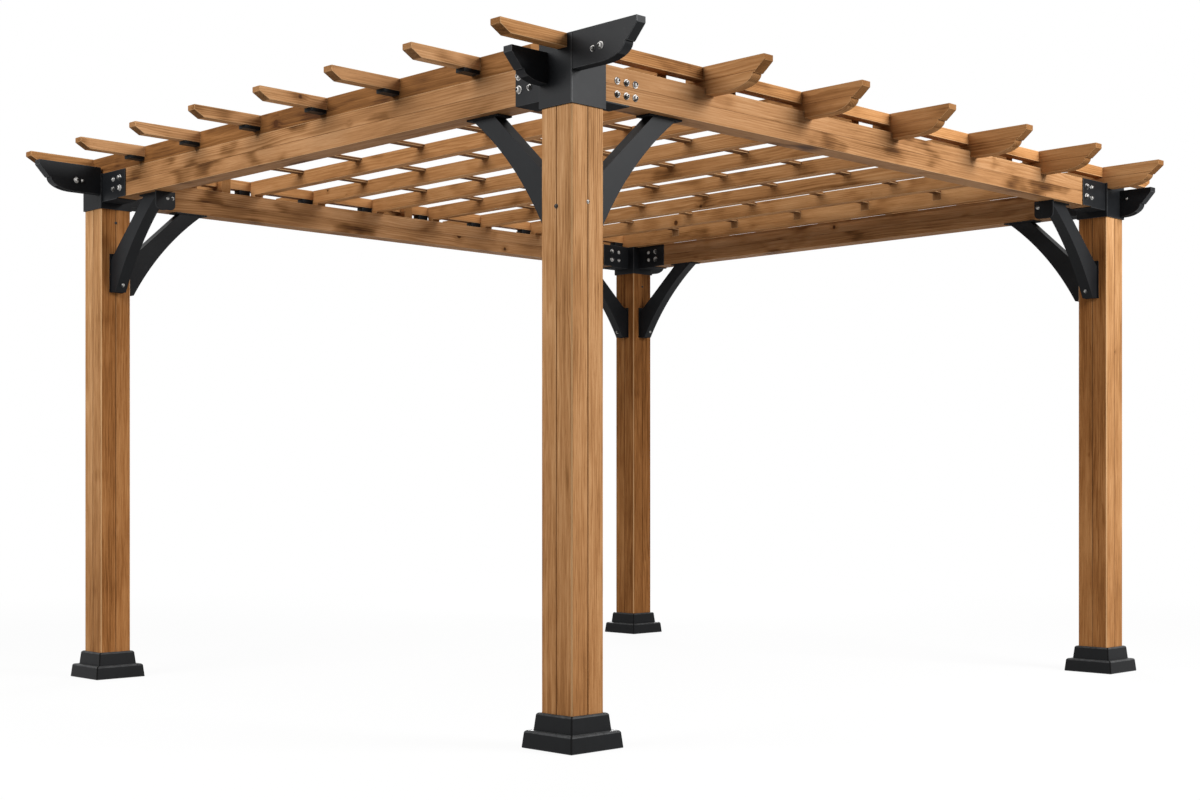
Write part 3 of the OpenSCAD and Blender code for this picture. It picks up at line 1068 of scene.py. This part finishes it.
def packer_tree():
    """Short steel block with rounded upright edges, standing on points."""
    group, tree, given = new_group("Packers", (
        ("Width X", "NodeSocketFloat"), ("Width Y", "NodeSocketFloat"), ("Height", "NodeSocketFloat"),
        ("Corner", "NodeSocketFloat"), ("Finish", "NodeSocketMaterial"),
    ))
    sides = {"Width": given["Width X"], "Height": given["Width Y"]}
    outline = tree.add("GeometryNodeCurvePrimitiveQuadrilateral", {}, sides)
    rounding = {"Curve": outline, "Count": 4, "Radius": given["Corner"]}
    outline = tree.add("GeometryNodeFilletCurve", {"mode": "POLY"}, rounding)
    base = tree.add("GeometryNodeFillCurve", {"mode": "NGONS"}, {"Curve": outline})
    lift = tree.add("ShaderNodeCombineXYZ", {}, {"Z": given["Height"]})
    risen = tree.add(
        "GeometryNodeExtrudeMesh", {"mode": "FACES"}, {"Mesh": base, "Offset": lift, "Individual": False}
    )
    joined = tree.add("GeometryNodeJoinGeometry", {}, {"Geometry": risen})
    tree.links.new(base.socket, joined.socket.node.inputs["Geometry"])
    block = tree.add("GeometryNodeMergeByDistance", {}, {"Geometry": joined, "Distance": WELD})
    placed = tree.add("GeometryNodeInstanceOnPoints", {}, {"Points": given["Points"], "Instance": block})
    solid = tree.add("GeometryNodeRealizeInstances", {}, {"Geometry": placed})
    shown = tree.add("GeometryNodeSetMaterial", {}, {"Geometry": solid, "Material": given["Finish"]})
    tree.add("NodeGroupOutput", {}, {"Geometry": shown})
    return group


class PERGOLA_OT_packers(bpy.types.Operator):
    """Black packers under the slats beside the rafters on the left beam; along the end rafters, black
    blocks under the slat tails are a painted shade
    """

    bl_idname = "pergola.packers"
    bl_label = "Packers"

    def execute(self, context):
        look = context.scene.pergola_steel
        finish = coat_material("packer_coat", look.coat)
        group = packer_tree()
        slat_low, slat_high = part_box(SLATS[0])
        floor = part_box("left_beam")[1].z
        side, end, thin, inset, corner = 0.060, 0.070, 0.013, 0.004, 0.003
        given = {"Width X": slat_high.x - slat_low.x - inset, "Corner": corner, "Finish": finish}
        places = [(middle_of(SLATS[0]).x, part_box(node)[0].y - side / 2, floor) for node in RAFTERS[1:]]
        grow("side_packers", group, {**given, "Width Y": side, "Height": slat_low.z - floor}, places)
        # Black blocks under the slat tails along the end rafters: a painted shade where the slats' shadow
        # falls
        rows = (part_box(RAFTERS[0])[0].y - end / 2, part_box(RAFTERS[-1])[1].y + end / 2)
        places = [(middle_of(slat).x, y, slat_low.z - thin) for slat in SLATS[1:-1] for y in rows]
        grow("end_packers", group, {**given, "Width Y": end, "Height": thin}, places)
        return {"FINISHED"}


# Stage

# Soft lamps: place, point aimed at, and size; their powers are in the stage's properties
LAMPS = {
    "key": ((6.0, 1.3, 3.8), (1.4, 0.1, 1.3), (2.8, 2.2)),
    "front": ((-0.4, -5.6, 3.7), (-0.2, -1.6, 1.5), (3.4, 1.6)),
    "back": ((-4.6, 4.8, 2.8), (-0.3, 0.3, 1.4), (3.0, 2.0)),
    "under": ((0, -0.1, 0.05), (0, -0.1, 2), (1.4, 1.4)),
}

# Width of the camera's sensor in millimetres, and how far it sees
SENSOR = 36
VIEW_FAR = 200

# Size of the floor, its drop below the feet, and its colour to light that bounces off it
FLOOR_RADIUS = 60
FLOOR_SIDES = 96
FLOOR_DROP = 0.001
FLOOR_SHADE = (0.34, 0.335, 0.33, 1)


class PERGOLA_OT_stage(bpy.types.Operator):
    """Pale floor, soft light and the camera at the viewing angle"""

    bl_idname = "pergola.stage"
    bl_label = "Studio"

    def execute(self, context):
        scene = context.scene
        stage = scene.pergola_stage
        scene.view_settings.view_transform = "Standard"
        self.world(scene, stage)
        self.floor(scene)
        for name, (place, aim, size) in LAMPS.items():
            lamp = self.softbox(scene, f"{name}_light", place, aim, size, getattr(stage, name))
            lamp.visible_glossy = name != "under"
        self.camera(scene, stage)
        return {"FINISHED"}

    @staticmethod
    def seen(tree):
        """1 for rays that show the backdrop itself: camera, glossy and transmission rays."""
        path = tree.add("ShaderNodeLightPath")
        outs = path.socket.node.outputs
        kinds = ("Is Camera Ray", "Is Glossy Ray", "Is Transmission Ray")
        camera, glossy, through = (Value(tree, outs[kind]) for kind in kinds)
        return camera.math("MAXIMUM", glossy).math("MAXIMUM", through)

    def world(self, scene, stage):
        """Even white light from all round, which shows as white."""
        world = bpy.data.worlds.new("studio")
        world.use_nodes = True
        world.node_tree.nodes.clear()
        tree = Tree(world.node_tree)
        strength = stage.fill + (1.0 - stage.fill) * self.seen(tree)
        light = tree.add("ShaderNodeBackground", {}, {"Color": (1, 1, 1, 1), "Strength": strength})
        tree.add("ShaderNodeOutputWorld", {}, {"Surface": light})
        scene.world = world

    def floor(self, scene):
        """Pale floor that shows nearly white and takes a faint shadow."""
        mesh = bmesh.new()
        bmesh.ops.create_circle(mesh, cap_ends=True, segments=FLOOR_SIDES, radius=FLOOR_RADIUS)
        bmesh.ops.translate(mesh, verts=mesh.verts, vec=(0, 0, -FLOOR_DROP))
        data = bpy.data.meshes.new("studio_floor")
        mesh.to_mesh(data)
        mesh.free()
        material, tree = new_material("studio_floor")
        place = tree.add("ShaderNodeTexCoord", {}, out="Object")
        far = tree.add("ShaderNodeVectorMath", {"operation": "LENGTH"}, {0: place}, out="Value")
        seen = self.seen(tree)
        mottle = tree.noise(place, 1.5, 3.0)
        pale = tree.blend((0.5 + mottle).clamped(), (0.86, 0.86, 0.86, 1), (0.90, 0.90, 0.90, 1))
        pale = tree.blend(seen, FLOOR_SHADE, pale)
        matt = tree.add("ShaderNodeBsdfDiffuse", {}, {"Color": pale})
        white = tree.add("ShaderNodeEmission", {}, {"Color": (1, 1, 1, 1), "Strength": 1.0})
        share = seen * (0.93 + 0.07 * tree.step(far, 3.0, 7.0))
        shown = tree.add("ShaderNodeMixShader", {}, {0: share, 1: matt, 2: white})
        tree.add("ShaderNodeOutputMaterial", {}, {"Surface": shown})
        data.materials.append(material)
        floor = bpy.data.objects.new("studio_floor", data)
        scene.collection.objects.link(floor)

    @staticmethod
    def softbox(scene, name, place, aim, size, power):
        """Rectangular lamp turned toward a point, unseen by the camera."""
        lamp = bpy.data.lights.new(name, "AREA")
        lamp.shape = "RECTANGLE"
        lamp.size, lamp.size_y = size
        lamp.energy = power
        box = bpy.data.objects.new(name, lamp)
        box.location = place
        box.rotation_euler = (Vector(place) - Vector(aim)).to_track_quat("Z", "Y").to_euler()
        box.visible_camera = False
        scene.collection.objects.link(box)
        return box

    @staticmethod
    def camera(scene, stage):
        """Level camera with a shifted lens."""
        lens = bpy.data.cameras.new("camera")
        lens.sensor_fit = "HORIZONTAL"
        lens.sensor_width = SENSOR
        lens.lens = stage.lens
        lens.shift_y = stage.rise
        lens.clip_end = VIEW_FAR
        camera = bpy.data.objects.new("camera", lens)
        camera.location = stage.eye
        camera.rotation_euler = (math.pi / 2, 0, stage.turn)
        scene.collection.objects.link(camera)
        scene.camera = camera


OPERATORS = (
    PERGOLA_OT_stage, PERGOLA_OT_posts, PERGOLA_OT_beams, PERGOLA_OT_rafters, PERGOLA_OT_slats,
    PERGOLA_OT_connectors, PERGOLA_OT_braces, PERGOLA_OT_trims, PERGOLA_OT_bolts, PERGOLA_OT_packers,
)
LOOKS = {"pergola_timber": PergolaTimber, "pergola_steel": PergolaSteel, "pergola_stage": PergolaStage}


class PERGOLA_PT_panel(bpy.types.Panel):
    """Looks and pieces of the pergola"""

    bl_label = "Pergola"
    bl_idname = "PERGOLA_PT_panel"
    bl_space_type = "VIEW_3D"
    bl_region_type = "UI"
    bl_category = "Pergola"

    def draw(self, context):
        for look, group in LOOKS.items():
            box = self.layout.box()
            for key in group.__annotations__:
                box.prop(getattr(context.scene, look), key)
        for operator in OPERATORS:
            self.layout.operator(operator.bl_idname)


def register():
    for group in (*LOOKS.values(), *OPERATORS, PERGOLA_PT_panel):
        bpy.utils.register_class(group)
    for name, group in LOOKS.items():
        setattr(bpy.types.Scene, name, bpy.props.PointerProperty(type=group))


def unregister():
    for name in LOOKS:
        delattr(bpy.types.Scene, name)
    for group in reversed((*LOOKS.values(), *OPERATORS, PERGOLA_PT_panel)):
        bpy.utils.unregister_class(group)


def main():
    register()
    for operator in OPERATORS:
        group, name = operator.bl_idname.split(".")
        getattr(getattr(bpy.ops, group), name)()


if __name__ == "__main__":
    main()
